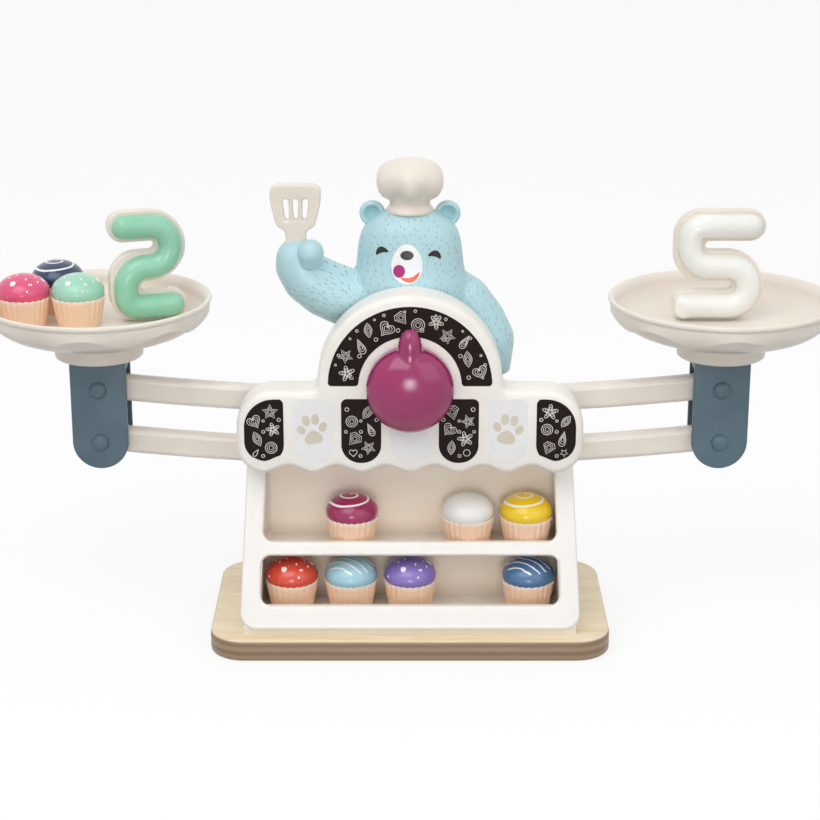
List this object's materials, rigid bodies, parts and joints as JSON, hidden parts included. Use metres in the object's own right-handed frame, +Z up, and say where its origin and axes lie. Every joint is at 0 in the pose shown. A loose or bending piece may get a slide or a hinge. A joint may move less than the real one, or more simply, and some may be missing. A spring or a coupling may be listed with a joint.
{
  "type": "toy balance scale",
  "caption": "Toy balance scale: level pans on a two-beam linkage over a cake-stall cabinet with a bear, a pointer knob, numerals and cupcake weights.",
  "frame": {"origin": "middle of the base board's underside", "axes": "+X to the viewer's right along the beams, +Y to the back, +Z up"},
  "size_m": [0.579, 0.159, 0.3281],
  "materials": {
    "plywood": "clear-lacquered maple plywood",
    "steel": "plain",
    "cream": "satin moulded plastic",
    "awning_white": "satin moulded plastic",
    "dark_panel": "printed plate",
    "pale_panel": "printed plate",
    "bear_blue": "satin moulded plastic",
    "bush": "plain nylon",
    "knob_magenta": "glossy",
    "upright_grey": "satin moulded plastic",
    "face_mint": "glossy",
    "face_white": "glossy",
    "cup_peach": "satin",
    "icing_pink": "glossy",
    "icing_navy": "glossy",
    "icing_mint": "glossy",
    "icing_red": "glossy",
    "icing_sky": "glossy",
    "icing_purple": "glossy",
    "icing_blue": "glossy",
    "icing_magenta": "glossy",
    "icing_white": "glossy",
    "icing_yellow": "glossy"
  },
  "bodies": {
    "stand": {"base_board": "plywood", "base_screws": "steel", "cabinet": "cream", "rear_cover": "cream", "cover_screws": "steel", "awning": "awning_white", "awning_screws": "steel", "arch_inlay": "dark_panel", "outer_inlays": "dark_panel", "inner_inlays": "dark_panel", "paw_inlays": "pale_panel", "centre_inlay": "pale_panel", "bear_body": "bear_blue", "chef_hat": "cream", "spatula": "cream", "front_bush": "bush", "rear_bush": "bush", "lower_axle": "steel"},
    "tilting_beam": {"upper_beam": "cream", "upper_axle": "steel", "pointer_knob": "knob_magenta", "axle_clip": "steel"},
    "steady_beam": {"lower_beam": "cream"},
    "left_carrier": {"left_upright": "upright_grey", "left_pivot_pins": "upright_grey", "left_pan": "cream", "left_pan_base": "cream", "left_pan_screws": "steel"},
    "right_carrier": {"right_upright": "upright_grey", "right_pivot_pins": "upright_grey", "right_pan": "cream", "right_pan_base": "cream", "right_pan_screws": "steel"},
    "number_two": {"two_back": "cream", "two_face": "face_mint", "two_ballast": "steel"},
    "number_five": {"five_back": "cream", "five_face": "face_white", "five_ballast": "steel"},
    "pink_cupcake": {"pink_cup": "cup_peach", "pink_icing": "icing_pink"},
    "navy_cupcake": {"navy_cup": "cup_peach", "navy_icing": "icing_navy"},
    "mint_cupcake": {"mint_cup": "cup_peach", "mint_icing": "icing_mint"},
    "red_cupcake": {"red_cup": "cup_peach", "red_icing": "icing_red"},
    "sky_cupcake": {"sky_cup": "cup_peach", "sky_icing": "icing_sky"},
    "purple_cupcake": {"purple_cup": "cup_peach", "purple_icing": "icing_purple"},
    "blue_cupcake": {"blue_cup": "cup_peach", "blue_icing": "icing_blue"},
    "magenta_cupcake": {"magenta_cup": "cup_peach", "magenta_icing": "icing_magenta"},
    "white_cupcake": {"white_cup": "cup_peach", "white_icing": "icing_white"},
    "yellow_cupcake": {"yellow_cup": "cup_peach", "yellow_icing": "icing_yellow"}
  },
  "joints": [
    {"name": "beam_tilt", "type": "hinge", "parent": "stand", "child": "tilting_beam", "pos_m": [0, 0.008, 0.186], "axis": [0, 1, 0], "range_deg": [-7, 7]},
    {"name": "lower_beam_tilt", "type": "hinge", "parent": "stand", "child": "steady_beam", "pos_m": [0, 0.008, 0.1486], "axis": [0, 1, 0], "range_deg": [-7.2, 7.2]},
    {"name": "left_level", "type": "hinge", "parent": "tilting_beam", "child": "left_carrier", "pos_m": [-0.212, 0.008, 0.1708], "axis": [0, 1, 0], "range_deg": [-7.2, 7.2]},
    {"name": "right_level", "type": "hinge", "parent": "tilting_beam", "child": "right_carrier", "pos_m": [0.212, 0.008, 0.1708], "axis": [0, 1, 0], "range_deg": [-7.2, 7.2]},
    {"name": "two_lift", "type": "slide", "parent": "left_carrier", "child": "number_two", "axis": [0, 0, 1], "range_m": [0, 0.06]},
    {"name": "five_lift", "type": "slide", "parent": "right_carrier", "child": "number_five", "axis": [0, 0, 1], "range_m": [0, 0.06]},
    {"name": "pink_lift", "type": "slide", "parent": "left_carrier", "child": "pink_cupcake", "axis": [0, 0, 1], "range_m": [0, 0.06]},
    {"name": "navy_lift", "type": "slide", "parent": "left_carrier", "child": "navy_cupcake", "axis": [0, 0, 1], "range_m": [0, 0.06]},
    {"name": "mint_lift", "type": "slide", "parent": "left_carrier", "child": "mint_cupcake", "axis": [0, 0, 1], "range_m": [0, 0.06]},
    {"name": "red_lift", "type": "slide", "parent": "stand", "child": "red_cupcake", "axis": [0, 0, 1], "range_m": [0, 0.005]},
    {"name": "sky_lift", "type": "slide", "parent": "stand", "child": "sky_cupcake", "axis": [0, 0, 1], "range_m": [0, 0.005]},
    {"name": "purple_lift", "type": "slide", "parent": "stand", "child": "purple_cupcake", "axis": [0, 0, 1], "range_m": [0, 0.005]},
    {"name": "blue_lift", "type": "slide", "parent": "stand", "child": "blue_cupcake", "axis": [0, 0, 1], "range_m": [0, 0.005]},
    {"name": "magenta_lift", "type": "slide", "parent": "stand", "child": "magenta_cupcake", "axis": [0, 0, 1], "range_m": [0, 0.022]},
    {"name": "white_lift", "type": "slide", "parent": "stand", "child": "white_cupcake", "axis": [0, 0, 1], "range_m": [0, 0.022]},
    {"name": "yellow_lift", "type": "slide", "parent": "stand", "child": "yellow_cupcake", "axis": [0, 0, 1], "range_m": [0, 0.022]}
  ],
  "couplings": [
    {"joint": "lower_beam_tilt", "follows": "beam_tilt", "ratio": 1},
    {"joint": "left_level", "follows": "beam_tilt", "ratio": -1},
    {"joint": "right_level", "follows": "beam_tilt", "ratio": -1}
  ]
}
